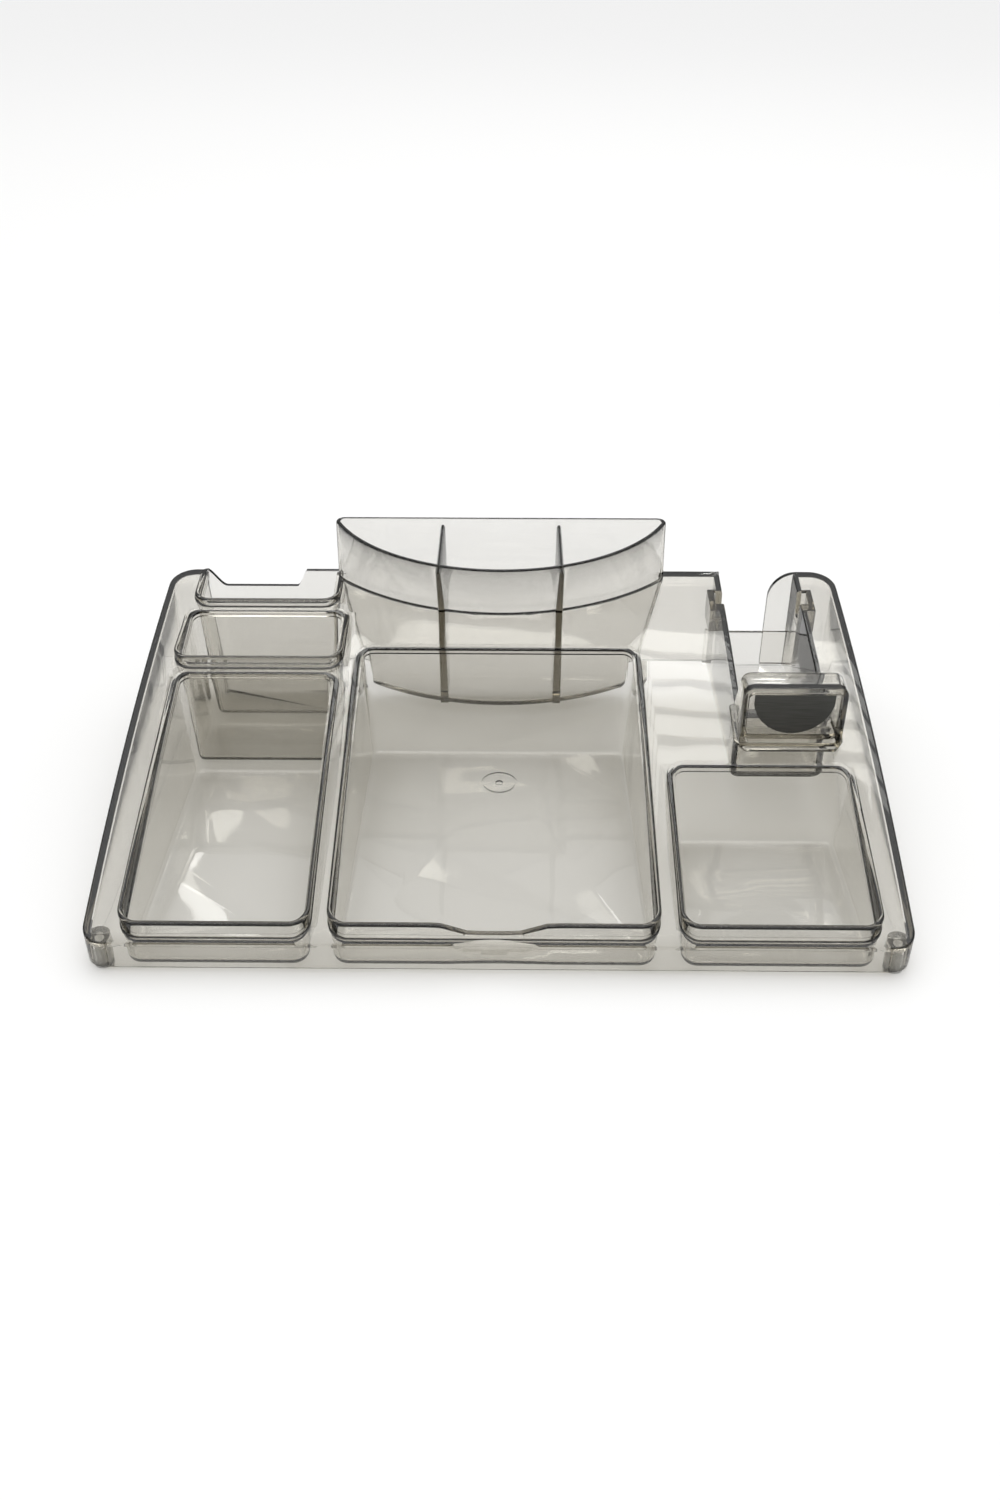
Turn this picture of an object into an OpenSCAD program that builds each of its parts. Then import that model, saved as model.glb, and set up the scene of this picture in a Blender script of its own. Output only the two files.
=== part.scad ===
// Wedge-shaped desk organizer: one clear moulding, a steel tape blade and
// four push-in feet. X runs to the right, Y to the back, Z up; the origin is
// on the table under the middle of the body. "d" is always the distance of a
// feature behind the front edge, and every height is above the table.

/* [Body] */
// Overall width at the front edge
body_w = 241; // [200:1:260]
// Overall depth, front edge to back wall
body_d = 156; // [150:1:170]
// How much narrower each side is at the back
side_taper = 0.4; // [0:0.1:4]
// Height of the deck at the front edge
deck_front_h = 11.2; // [9:0.1:14]
// Height of the deck half way back
deck_mid_h = 36.3; // [33:0.1:38]
// Height of the deck at the back wall
deck_back_h = 51.7; // [48:0.1:56]
// Wall thickness of the moulding
wall = 1.6; // [1.4:0.1:2.4]
// Radius of the front corners in plan
front_corner_r = 6; // [3:0.5:8]
// Radius of the back corners in plan
back_corner_r = 9; // [5:0.5:12]

/* [Trays] */
// Width of the note tray over its rims
note_w = 96.4; // [94:0.2:98]
// Middle of the note tray, to the right of the centre
note_x = -1.1; // [-1.5:0.1:1]
// Back of the note tray
note_d = 114.2; // [108:0.2:115]
// Left tray: outer left edge
left_x0 = -109.8; // [-111:0.1:-106]
// Left tray: outer right edge
left_x1 = -54.2; // [-57:0.1:-53]
// Left tray: back edge
left_d = 101.8; // [96:0.2:102]
// Right tray: outer left edge
right_x0 = 52.6; // [50:0.1:55]
// Right tray: outer right edge
right_x1 = 111.1; // [106:0.1:112]
// Right tray: back edge
right_d = 63; // [56:0.2:64]
// Height of the tray rims above the deck at the front
rim_rise = 5; // [3:0.2:6]
// Slope of every compartment wall, sideways shift per unit of height
draft = 0.065; // [0.02:0.005:0.08]
// Corner radius of the compartments at the rim
tray_r = 6; // [4:0.5:8]

/* [Bins] */
// Middle bin: outer left edge
mid_x0 = -110.9; // [-112:0.1:-108]
// Middle bin: outer right edge
mid_x1 = -53.5; // [-56:0.1:-52]
// Middle bin: front face
mid_d0 = 102.4; // [102:0.2:104]
// Middle bin: back face
mid_d1 = 133.4; // [128:0.2:134]
// Rear bin: outer left edge
rear_x0 = -109.4; // [-111:0.1:-106]
// Rear bin: outer right edge
rear_x1 = -57.6; // [-59:0.1:-55]
// Rear bin: front face
rear_d0 = 134.2; // [133:0.2:136]
// Rise of the middle bin's front rim above the deck
mid_rise = 3.6; // [2:0.2:5]
// Rise of the rear bin's front rim above the deck
rear_rise = 2.4; // [1.6:0.2:4]
// Width of the finger scoop's flat bottom, in the rear bin's back wall
scoop_w = 25.6; // [20:0.2:30]
// Depth of that scoop below the deck
scoop_h = 6; // [4:0.2:8]

/* [Pen cup] */
// Middle of the cup, to the right of the centre
cup_x = -0.5; // [-1.5:0.1:1]
// Width of the cup over its rim
cup_w = 117; // [108:0.5:120]
// Height of the cup's rim
cup_h = 72.6; // [66:0.2:78]
// Depth of the cup over its rim, front to back
cup_rim_d = 42; // [36:0.5:44]
// Depth of the cup where it meets the deck
cup_waist_d = 25; // [22:0.5:28]
// Depth of the cup at its bottom
cup_base_d = 20.5; // [18:0.5:24]
// Width of the cup at its bottom
cup_base_w = 99; // [90:0.5:104]
// Height of the underside of the cup
cup_base_h = 6; // [3:0.5:12]
// Distance of each divider from the middle
divider_x = 20.7; // [16:0.1:26]
// Thickness of the dividers at the top
divider_t = 1.6; // [1.2:0.1:2.6]

/* [Tape dispenser] */
// Middle of the tape well
tape_x = 92.2; // [91:0.1:94]
// Clear width between the cheeks
tape_w = 26.7; // [22:0.1:27]
// Front wall of the well
tape_d = 84; // [82:0.5:86]
// Height of the well's low back wall
tape_back_h = 28; // [22:0.5:34]
// Underside of the well and of the back wall
rear_base_h = 13.6; // [10:0.2:16]
// Width of the slots that take the reel's axle
axle_w = 6; // [5:0.2:7]
// Height of the axle's centre
axle_h = 44; // [42:0.5:45]
// Width of the cutter nose
nose_w = 32.4; // [32:0.2:36]
// Top of the cutter nose
nose_h = 56; // [52:0.5:60]
// Front face of the cutter nose
nose_d = 68; // [67:0.5:70]
// Back face of the cutter nose
nose_back_d = 78; // [76:0.5:80]
// Width of the steel blade
blade_w = 25.2; // [20:0.2:27]
// Height of the steel blade
blade_h = 15.2; // [12:0.2:16]
// Thickness of the steel blade
blade_t = 0.6; // [0.4:0.1:1]
// Number of teeth on the blade
blade_teeth = 30; // [20:1:40]

/* [Feet] */
// Outer diameter of the corner posts
post_od = 6.6; // [6:0.2:8]
// Diameter of the hole in each post
post_bore = 3; // [2.6:0.1:3.4]
// How far the feet stand below the moulding
foot_h = 1; // [0.6:0.1:2]
// Diameter of the foot's head
foot_od = 6; // [5:0.2:8]
// Length of the foot's pin
foot_pin = 6; // [4:0.5:7]

/* [Hidden] */

smoke = [0.80, 0.78, 0.75, 0.45];
smoke_dark = [0.66, 0.64, 0.61, 0.55];
steel = [0.45, 0.45, 0.44];
foot_clear = [0.85, 0.85, 0.83, 0.8];

arc_fn = 720;
round_fn = 48;
corner_fn = 32;
cup_fn = 120;
fat = 400;          // more than the whole part
thin = 0.01;        // slab that a hull starts or ends with
low = foot_h;       // underside of the moulding
high = 60;          // plane above the deck that tapered walls run to
half_w = body_w / 2;
rim_flush = 0.3;    // a rim still stands this far above the deck at its back
notch_r = 40;       // thumb notch in the note tray's front rim
notch_drop = 3.4;
dish_r = 45;        // hollow under the notch, in the front skirt
dish_h = 7.4;
divider_gap = 2.4;  // dividers stop this far below the rim
divider_flare = 1.4;
scoop_left = 7.4;   // the scoop's sloping ends, as widths at the deck
scoop_right = 4.6;
scoop_r = 2;
gate_d = 91.5;      // injection mark in the note tray's floor
gate_od = 12;
gate_id = 10.8;
gate_dot = 2.4;
gate_deep = 0.4;
arch_x = tape_x + 5.3;  // right end of the gap in the back wall
arch_r = 10;
ledge_x0 = 75.6;    // the well's low back wall, inside the body's back wall
ledge_x1 = 114.4;
plinth_out = 1.2;   // pad under the cutter nose
plinth_up = 0.8;
gusset_d = 86;      // the nose's side walls reach this far back on the deck
nose_r = 3.2;
recess_low = 2.2;   // the blade's recess starts this far above the deck
recess_top = 2.4;
tooth = 0.7;
tooth_gap = 0.04;
pocket_half = 6;    // half the size of the block round an axle pocket

function y_of(d) = d - body_d / 2;

// Circle through three points of a side view, as [centre y, centre z, radius]
function circle3(a, b, c) =
    let (k = 2 * (a.x * (b.y - c.y) + b.x * (c.y - a.y) + c.x * (a.y - b.y)),
         m = [a * a, b * b, c * c],
         y = (m[0] * (b.y - c.y) + m[1] * (c.y - a.y) + m[2] * (a.y - b.y)) / k,
         z = (m[0] * (c.x - b.x) + m[1] * (a.x - c.x) + m[2] * (b.x - a.x)) / k)
    [y, z, norm(a - [y, z])];

function height_on(arc, y) = arc[1] + sqrt(arc[2] * arc[2] - (y - arc[0]) * (y - arc[0]));

deck_arc = circle3([y_of(0), deck_front_h], [0, deck_mid_h], [y_of(body_d), deck_back_h]);
function deck_z(d) = height_on(deck_arc, y_of(d));

// Rim line of a compartment: "rise" above the deck at d0, flush with it at d1
function rim_arc(d0, d1, rise, sag = 0.5) =
    circle3([y_of(d0), deck_z(d0) + rise],
            [y_of((d0 + d1) / 2), deck_z((d0 + d1) / 2) + rise * sag],
            [y_of(d1), deck_z(d1) + rim_flush]);

front_d = wall;     // the trays start right behind the front skirt
back_d = body_d - wall;
ledge_d = back_d - wall;
note_x0 = note_x - note_w / 2;
note_x1 = note_x + note_w / 2;
note_rim = rim_arc(front_d, note_d, rim_rise, 0.42);
left_rim = rim_arc(front_d, left_d, rim_rise);
right_rim = rim_arc(front_d, right_d, rim_rise);
mid_rim = rim_arc(mid_d0, mid_d1, mid_rise, 0.55);
rear_rim = rim_arc(rear_d0, body_d, rear_rise, 0.55);
cheek_x0 = tape_x - tape_w / 2;
cheek_x1 = tape_x + tape_w / 2;
post_x = half_w - post_od / 2 - 1.5;
post_front_d = 4.2;
post_back_d = body_d - post_od / 2 - wall - 0.2;
post_top = deck_front_h - wall - 0.6;
axle_d = 140;
axle_pocket = 3.2;
blade_d = nose_d + 1.6;
blade_top = nose_h - 2.4;

// ---- shared solids -------------------------------------------------------

// Everything below an arc that runs the whole width
module below(arc) {
    translate([0, arc[0], arc[1]])
        rotate([0, 90, 0])
            cylinder(r = arc[2], h = fat, center = true, $fn = arc_fn);
}

// Plan of the body: slightly narrower at the back, with four round corners
module body_plan(inset = 0) {
    fx = half_w - front_corner_r;
    bx = half_w - side_taper - back_corner_r;
    hull() {
        for (s = [-1, 1]) {
            translate([s * fx, y_of(front_corner_r)])
                circle(r = front_corner_r - inset, $fn = round_fn);
            translate([s * bx, y_of(body_d - back_corner_r)])
                circle(r = back_corner_r - inset, $fn = round_fn);
        }
    }
}

// A straight box given by its corners
module span(x0, x1, d0, d1, z0, z1) {
    translate([x0, y_of(d0), z0]) cube([x1 - x0, d1 - d0, z1 - z0]);
}

// A compartment's tapered block. Its sides meet the given plan at the rim
// line and lean inwards below it; "inset" shrinks it all round.
module tapered(x0, x1, d0, d1, rim, z0, r, inset = 0, back = 1) {
    hull() {
        for (z = [z0, high])
            for (fx = [0, 1], fd = [0, 1]) {
                d = fd == 0 ? d0 : d1;
                lean = draft * (z - height_on(rim, y_of(d)));
                shift = fd == 0 ? -lean : back * lean;
                x = fx == 0 ? x0 - lean + inset + r : x1 + lean - inset - r;
                dd = fd == 0 ? d0 + shift + inset + r : d1 + shift - inset - r;
                translate([x, y_of(dd), z]) cylinder(r = r, h = thin, $fn = corner_fn);
            }
    }
}

// An open tray: tapered block under its rim line, hollowed by the wall
module tray(x0, x1, d0, d1, rim, back = 1) {
    difference() {
        intersection() {
            tapered(x0, x1, d0, d1, rim, low, tray_r, 0, back);
            below(rim);
        }
        tapered(x0, x1, d0, d1, rim, low + wall, tray_r - wall, wall, back);
    }
}

// D-shaped plan of the pen cup: flat back, round front, rounded ends
module cup_plan(w, depth, inset = 0) {
    end_r = 3;
    r = (pow(w / 2 - end_r, 2) / (depth - 2 * end_r) + depth) / 2;
    offset(r = end_r - inset, $fn = corner_fn)
        offset(delta = -end_r)
            intersection() {
                translate([0, y_of(body_d - depth) + r]) circle(r = r, $fn = cup_fn);
                translate([-w, y_of(body_d - depth)]) square([2 * w, depth]);
            }
}

// The cup leans out in front above the deck and tapers gently below it
module cup_block(inset = 0) {
    waist_h = deck_z(body_d - cup_waist_d);
    waist_w = cup_w + 1;
    floor_h = cup_base_h + (inset > 0 ? wall : 0);
    top_h = cup_h + (inset > 0 ? 1 : 0);
    hull() {
        translate([cup_x, 0, waist_h]) linear_extrude(thin) cup_plan(waist_w, cup_waist_d, inset);
        translate([cup_x, 0, top_h]) linear_extrude(thin) cup_plan(cup_w, cup_rim_d, inset);
    }
    hull() {
        translate([cup_x, 0, floor_h])
            linear_extrude(thin) cup_plan(cup_base_w, cup_base_d, inset);
        translate([cup_x, 0, waist_h]) linear_extrude(thin) cup_plan(waist_w, cup_waist_d, inset);
    }
}

// Room of the tape well with the gap that it leaves in the deck
module tape_room() {
    span(cheek_x0, cheek_x1, tape_d, body_d + 1, rear_base_h + wall, high);
}

// The slot that the reel's axle drops into, cut along X
module axle_slot(x0, x1) {
    translate([x0, y_of(axle_d), axle_h]) {
        rotate([0, 90, 0]) cylinder(d = axle_w, h = x1 - x0, $fn = round_fn);
        translate([0, -axle_w / 2, 0]) cube([x1 - x0, axle_w, 20]);
    }
}

// ---- the moulding, region by region -------------------------------------

module deck() color(smoke) {
    difference() {
        intersection() {
            linear_extrude(high) body_plan();
            below(deck_arc);
        }
        translate([0, 0, -wall]) below(deck_arc);
        tapered(note_x0, note_x1, front_d, note_d, note_rim, low, tray_r);
        tapered(left_x0, left_x1, front_d, left_d, left_rim, low, tray_r);
        tapered(right_x0, right_x1, front_d, right_d, right_rim, low, tray_r);
        tapered(mid_x0, mid_x1, mid_d0, mid_d1, mid_rim, low, tray_r);
        tapered(rear_x0, rear_x1, rear_d0, body_d, rear_rim, low, tray_r, 0, 0);
        cup_block();
        tape_room();
        front_zone();
        back_zone();
        thumb_notch();
        span(cup_x - cup_w / 2 - 0.7, rear_x1, back_d - 0.5, back_d + 1, 0, high);
    }
}

// The strip that the front skirt fills, and the one that the back wall fills
module front_zone() {
    span(-fat, fat, -1, front_d, 0, high);
}

module back_zone() {
    span(-fat, fat, back_d, body_d + 1, 0, high);
}

// A shallow round notch across the front rim of the note tray
module thumb_notch() {
    bottom = deck_z(front_d) + rim_rise - notch_drop;
    translate([note_x, y_of(-1), bottom + notch_r])
        rotate([-90, 0, 0]) cylinder(r = notch_r, h = front_d + wall + 2, $fn = arc_fn);
}

// Hollow under the notch, deepest at the skirt's top edge
module thumb_dish() {
    hull() {
        translate([note_x, y_of(-thin), dish_h + dish_r])
            rotate([-90, 0, 0]) cylinder(r = dish_r, h = thin, $fn = arc_fn);
        translate([note_x, y_of(front_d), deck_front_h + dish_r])
            rotate([-90, 0, 0]) cylinder(r = dish_r, h = thin, $fn = arc_fn);
    }
}

module front_skirt() color(smoke) {
    difference() {
        intersection() {
            linear_extrude(high) body_plan();
            below(deck_arc);
            front_zone();
        }
        span(-fat, fat, -1, front_d + 1, 0, low);
        thumb_dish();
    }
}

// Side skirt: an upright rim between the deck and the table
module side_skirt(s) color(smoke) {
    difference() {
        intersection() {
            linear_extrude(high) body_plan();
            translate([0, 0, -wall]) below(deck_arc);
            translate([s * (half_w - front_corner_r + fat / 2), 0, 0])
                cube([fat, fat, fat], center = true);
        }
        translate([0, 0, -1]) linear_extrude(fat) body_plan(wall + 0.2);
        span(-fat, fat, -1, body_d + 1, 0, low);
        front_zone();
        back_zone();
    }
}

// Back wall outside the bins and the cup, with the tape gap on the right
module back_wall(x0, x1) color(smoke) {
    difference() {
        intersection() {
            linear_extrude(high) body_plan();
            below(deck_arc);
            span(x0, x1, back_d, body_d + 1, rear_base_h, high);
        }
        tapered(rear_x0, rear_x1, rear_d0, body_d, rear_rim, low, tray_r, 0, 0);
        cup_block();
        tape_back_gap();
    }
}

// Gap in the back wall behind the tape well: straight on the left, arched
// over to the deck on the right
module tape_back_gap() {
    translate([0, y_of(back_d - 1), 0])
        rotate([90, 0, 0]) mirror([0, 0, 1]) linear_extrude(wall + 2) {
            translate([cheek_x0, 0]) square([arch_x - cheek_x0, high]);
            difference() {
                translate([arch_x - thin, deck_back_h - arch_r])
                    square([arch_r + thin, high]);
                translate([arch_x + arch_r, deck_back_h - arch_r])
                    circle(r = arch_r, $fn = arc_fn);
            }
        }
}

module note_tray() color(smoke) {
    difference() {
        tray(note_x0, note_x1, front_d, note_d, note_rim);
        thumb_notch();
        gate_recess();
    }
}

// Round injection mark in the note tray's floor
module gate_recess() {
    translate([note_x, y_of(gate_d), low + wall - gate_deep])
        difference() {
            cylinder(d = gate_od, h = 1, $fn = round_fn);
            cylinder(d = gate_id, h = 1, $fn = round_fn);
        }
    translate([note_x, y_of(gate_d), low + wall - 2 * gate_deep])
        cylinder(d = gate_dot, h = 1, $fn = round_fn);
}

module left_tray() color(smoke) {
    tray(left_x0, left_x1, front_d, left_d, left_rim);
}

module right_tray() color(smoke) {
    tray(right_x0, right_x1, front_d, right_d, right_rim);
}

module middle_bin() color(smoke_dark) {
    tray(mid_x0, mid_x1, mid_d0, mid_d1, mid_rim);
}

module rear_bin() color(smoke_dark) {
    difference() {
        tray(rear_x0, rear_x1, rear_d0, body_d, rear_rim, 0);
        finger_scoop();
        cup_block();
    }
}

// Low stretch of the rear bin's back wall with sloping ends
module finger_scoop() {
    x0 = rear_x0 + wall + scoop_left;
    floor_z = deck_back_h - scoop_h;
    translate([x0, y_of(back_d - 1), floor_z])
        rotate([90, 0, 0]) mirror([0, 0, 1]) linear_extrude(wall + 2)
            offset(r = scoop_r, $fn = round_fn) offset(delta = -scoop_r)
                polygon([[0, 0], [scoop_w, 0],
                         [scoop_w + 2 * scoop_right, 2 * scoop_h],
                         [-2 * scoop_left, 2 * scoop_h]]);
}

module pen_cup() color(smoke) {
    difference() {
        cup_block();
        cup_block(wall);
    }
}

module pen_divider(s) color(smoke_dark) {
    foot_t = divider_t + divider_flare;
    intersection() {
        cup_block(wall);
        hull() {
            translate([cup_x + s * divider_x, y_of(body_d), cup_h - divider_gap - thin])
                linear_extrude(thin) square([divider_t, 2 * body_d], center = true);
            translate([cup_x + s * divider_x, y_of(body_d), low])
                linear_extrude(thin) square([foot_t, 2 * body_d], center = true);
        }
    }
}

// Cheek of the tape well with the pocket that holds one end of the axle
module tape_cheek(s) color(smoke) {
    inner = s < 0 ? cheek_x0 : cheek_x1;
    x0 = s < 0 ? inner - wall : inner;
    p0 = s < 0 ? inner - wall - axle_pocket : inner + wall;
    c0 = s < 0 ? inner - axle_pocket : inner - 1;
    difference() {
        intersection() {
            union() {
                span(x0, x0 + wall, tape_d, ledge_d, rear_base_h, high);
                span(p0, p0 + axle_pocket, axle_d - pocket_half, axle_d + pocket_half,
                     axle_h - pocket_half, high);
            }
            translate([0, 0, -wall]) below(deck_arc);
        }
        axle_slot(c0, c0 + axle_pocket + 1);
    }
}

// Floor of the well with the front wall that stands on it
module tape_well_floor() color(smoke) {
    span(cheek_x0 - wall, cheek_x1 + wall, tape_d - wall, back_d,
         rear_base_h - wall, rear_base_h);
    intersection() {
        span(cheek_x0 - wall, cheek_x1 + wall, tape_d - wall, tape_d, rear_base_h - thin, high);
        translate([0, 0, -wall]) below(deck_arc);
    }
}

// Low wall that closes the well, standing against the body's back wall
module tape_well_back() color(smoke) {
    span(ledge_x0, ledge_x1, ledge_d, back_d, rear_base_h, tape_back_h);
}

// Hood that the tape runs over, open at the back, on a pad, with a recess for
// the blade in front
module cutter_nose() color(smoke_dark) {
    x0 = tape_x - nose_w / 2;
    x1 = tape_x + nose_w / 2;
    difference() {
        union() {
            difference() {
                span(x0, x1, nose_d, nose_back_d, 0, nose_h);
                for (s = [-1, 1])
                    translate([tape_x + s * nose_w / 2, y_of(nose_d - 1), nose_h])
                        corner_cut(s, nose_r, nose_back_d - nose_d + 2);
            }
            intersection() {
                span(x0 - plinth_out, x1 + plinth_out, nose_d - plinth_out, gusset_d, 0, high);
                translate([0, 0, plinth_up]) below(deck_arc);
            }
            nose_gusset(x0);
            nose_gusset(x1 - wall);
        }
        below(deck_arc);
        span(cheek_x0, cheek_x1, tape_d, gusset_d + 1, 0, high);
        span(x0 + wall, x1 - wall, nose_d - 1, blade_d + blade_t,
             deck_z(nose_d) + recess_low, nose_h - recess_top);
        span(x0 + wall, x1 - wall, blade_d + blade_t + wall, nose_back_d + thin,
             deck_z(nose_back_d) + plinth_up, nose_h - wall);
    }
}

// Web that carries a side wall of the nose down to the deck behind it
module nose_gusset(x0) {
    translate([x0, 0, 0]) rotate([90, 0, 90]) linear_extrude(wall)
        polygon([[y_of(nose_back_d) - 1, deck_z(nose_back_d)],
                 [y_of(gusset_d), deck_z(nose_back_d)],
                 [y_of(gusset_d), deck_z(gusset_d) + plinth_up],
                 [y_of(nose_back_d) - 1, nose_h - nose_r]]);
}

// What a rounded top corner of the nose takes away
module corner_cut(s, r, l) {
    rotate([-90, 0, 0])
        difference() {
            translate([s < 0 ? -1 : -r, -1, 0]) cube([r + 1, r + 1, l]);
            translate([-s * r, r, -1]) cylinder(r = r, h = l + 2, $fn = round_fn);
        }
}

// Half-moon steel blade with a row of fine teeth along its straight top
module cutter_blade() color(steel) {
    pitch = blade_w / blade_teeth;
    arc_r = (blade_w * blade_w / 4 + blade_h * blade_h) / (2 * blade_h);
    translate([tape_x, y_of(blade_d + blade_t), blade_top])
        rotate([90, 0, 0])
            linear_extrude(blade_t) {
                intersection() {
                    translate([0, arc_r - blade_h]) circle(r = arc_r, $fn = arc_fn);
                    translate([-blade_w / 2, -blade_h]) square([blade_w, blade_h - tooth]);
                }
                for (i = [0:blade_teeth - 1])
                    translate([-blade_w / 2 + i * pitch, -tooth - thin])
                        polygon([[tooth_gap, 0], [pitch - tooth_gap, 0], [pitch / 2, tooth]]);
            }
}

// Socket post at a corner: a tube from the moulding's underside to the deck
module post(x, d, top) color(smoke) {
    translate([x, y_of(d), low])
        difference() {
            cylinder(d = post_od, h = top - low, $fn = round_fn);
            translate([0, 0, -1]) cylinder(d = post_bore, h = foot_pin + 2, $fn = round_fn);
        }
}

module foot(x, d) color(foot_clear) {
    translate([x, y_of(d), 0]) {
        cylinder(d = foot_od, h = foot_h, $fn = round_fn);
        cylinder(d = post_bore, h = foot_h + foot_pin, $fn = round_fn);
    }
}

deck();
front_skirt();
side_skirt(-1);  // left_skirt
side_skirt(1);  // right_skirt
back_wall(-half_w, rear_x0 + tray_r);  // back_wall_left
back_wall(rear_x1 - tray_r, half_w);  // back_wall_right
note_tray();
left_tray();
right_tray();
middle_bin();
rear_bin();
pen_cup();
pen_divider(-1);  // pen_divider_left
pen_divider(1);  // pen_divider_right
tape_cheek(-1);  // tape_cheek_left
tape_cheek(1);  // tape_cheek_right
tape_well_floor();
tape_well_back();
cutter_nose();
cutter_blade();
post(-post_x, post_front_d, post_top);  // post_front_left
post(post_x, post_front_d, post_top);  // post_front_right
post(-post_x, post_back_d, post_top);  // post_back_left
post(post_x, post_back_d, post_top);  // post_back_right
foot(-post_x, post_front_d);  // foot_front_left
foot(post_x, post_front_d);  // foot_front_right
foot(-post_x, post_back_d);  // foot_back_left
foot(post_x, post_back_d);  // foot_back_right
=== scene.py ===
import math

import bmesh
import bpy
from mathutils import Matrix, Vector
from mathutils.geometry import delaunay_2d_cdt


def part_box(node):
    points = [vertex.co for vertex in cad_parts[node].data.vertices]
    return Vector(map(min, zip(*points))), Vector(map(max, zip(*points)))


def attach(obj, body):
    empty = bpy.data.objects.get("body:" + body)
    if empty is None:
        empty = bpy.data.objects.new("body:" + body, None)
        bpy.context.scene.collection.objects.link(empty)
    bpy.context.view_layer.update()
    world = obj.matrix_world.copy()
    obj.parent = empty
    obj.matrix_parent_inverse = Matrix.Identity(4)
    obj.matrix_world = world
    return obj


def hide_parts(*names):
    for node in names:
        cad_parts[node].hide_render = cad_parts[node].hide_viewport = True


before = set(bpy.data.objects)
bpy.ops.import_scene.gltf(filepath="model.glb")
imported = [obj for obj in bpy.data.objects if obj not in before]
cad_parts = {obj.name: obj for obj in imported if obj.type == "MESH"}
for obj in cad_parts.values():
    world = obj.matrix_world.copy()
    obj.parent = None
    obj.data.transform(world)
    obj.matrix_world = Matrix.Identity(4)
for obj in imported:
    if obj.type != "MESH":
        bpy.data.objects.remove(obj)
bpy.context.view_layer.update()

# The meshes are worked out in millimetres and scaled to metres as they are made.
MM = 0.001

# Shapes that the CAD boxes do not give, in millimetres

# The whole body
WALL = 1.6                 # compartments and cup
SHELL = 2.0                # deck and skirts
DRAFT = 0.065              # sideways shift of a compartment wall per unit of height
DECK_ARCH_R = 709.0        # radius of the deck's gentle arch
FRONT_CORNER_R = 6.0
BACK_CORNER_R = 9.0
TRAY_CORNER_R = 6.0
SIDE_TAPER = 0.4           # how much narrower each side is at the back
EDGE_R = 0.9               # rounding of the deck's outer edge
RIM_R = 0.8                # rounding of the compartment rims
FLARE_R = 0.6              # hollow rounding between a rim and the deck
FLUSH_R = 0.35             # rounding of a rim where it is level with the deck
BASE_R = 2.6               # rounding of the compartments' undersides
FOOT_R = 1.0               # rounding inside the compartments' floors
SIDE_STEP = 4.0            # longest straight piece of an outline
ROUND_STEPS = 5            # steps of a small rounding
CORNER_STEPS = 12          # steps of a corner in plan
CUT = WALL / 2             # how far a hole in the deck reaches into a wall
SKIRT_INNER_R = 0.6        # rounding between the skirts' inside and the deck's
BACK_TURN = 0.92           # y of an outward normal from which the lower edge rises
BACK_TURN_SPAN = 0.07      # and the span of y over which it reaches the back's height
PLUG_LOW_Z = -5.0          # the blocks that clear the deck reach from here
PLUG_HIGH_Z = 100.0        # up to here, or to CUP_PLUG_Z for the cup

# Compartment rims
RIM_FLUSH = 0.06           # rise above the deck of a rim that is level with it
FLARE_SHARE = 0.75         # part of a low rim's rise that its hollow rounding takes
RIM_SHARE = 0.45           # part of a low rim's rise that its own rounding takes
RIM_FULL_RISE = 1.5        # rise from which the inner rounding has its full size
WELD_Z = 1.2               # depth under the deck's face where a wall stops being plain
WELD_OUT_Z = 0.9           # depth where it has widened to the foot of its flare
WELD_FLARE_Z = 0.04        # depth where the flare starts
DRIFT_DEPTH = 2            # rows above this depth follow the deck's slope
RIM_RISE = {               # rise of a rim at its front, and in the middle of its arc
    "note_tray": (5.0, 2.1),
    "left_tray": (5.0, 2.5),
    "right_tray": (5.0, 2.5),
    "middle_bin": (3.6, 2.0),
    "rear_bin": (2.2, 1.3),
}


def box_mm(node):
    """Lowest and highest corner of a CAD node, in millimetres."""
    low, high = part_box(node)
    return Vector(low) / MM, Vector(high) / MM


deck_high = box_mm("deck")[1]
skirt_low, skirt_high = box_mm("front_skirt")
wall_low, wall_high = box_mm("back_wall_right")
HALF_W = deck_high.x
FRONT_Y = skirt_low.y
BACK_Y = wall_high.y
LOW_Z = skirt_low.z
BACK_LOW_Z = wall_low.z
BACK_HALF_W = HALF_W - SIDE_TAPER


def arc_through(y0, z0, y1, z1, radius):
    """Circle of a given radius that arches over two points of a side view."""
    dy, dz = y1 - y0, z1 - z0
    chord = math.hypot(dy, dz)
    drop = math.sqrt(radius * radius - chord * chord / 4)
    cy = (y0 + y1) / 2 + drop * dz / chord
    cz = (z0 + z1) / 2 - drop * dy / chord
    return cy, cz, radius


def on_arc(arc, y):
    return arc[1] + math.sqrt(arc[2] ** 2 - (y - arc[0]) ** 2)


def arc_of_three(a, b, c):
    """Circle through three points (y, z)."""
    k = 2 * (a[0] * (b[1] - c[1]) + b[0] * (c[1] - a[1]) + c[0] * (a[1] - b[1]))
    m = [p[0] ** 2 + p[1] ** 2 for p in (a, b, c)]
    y = (m[0] * (b[1] - c[1]) + m[1] * (c[1] - a[1]) + m[2] * (a[1] - b[1])) / k
    z = (m[0] * (c[0] - b[0]) + m[1] * (a[0] - c[0]) + m[2] * (b[0] - a[0])) / k
    return y, z, math.hypot(a[0] - y, a[1] - z)


DECK_FRONT_Z = skirt_high.z
DECK_BACK_Z = deck_high.z
deck_arc = arc_through(skirt_high.y, DECK_FRONT_Z, deck_high.y, DECK_BACK_Z, DECK_ARCH_R)


def deck_z(y):
    return on_arc(deck_arc, y)


# ---- mesh tools ----------------------------------------------------------

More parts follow.
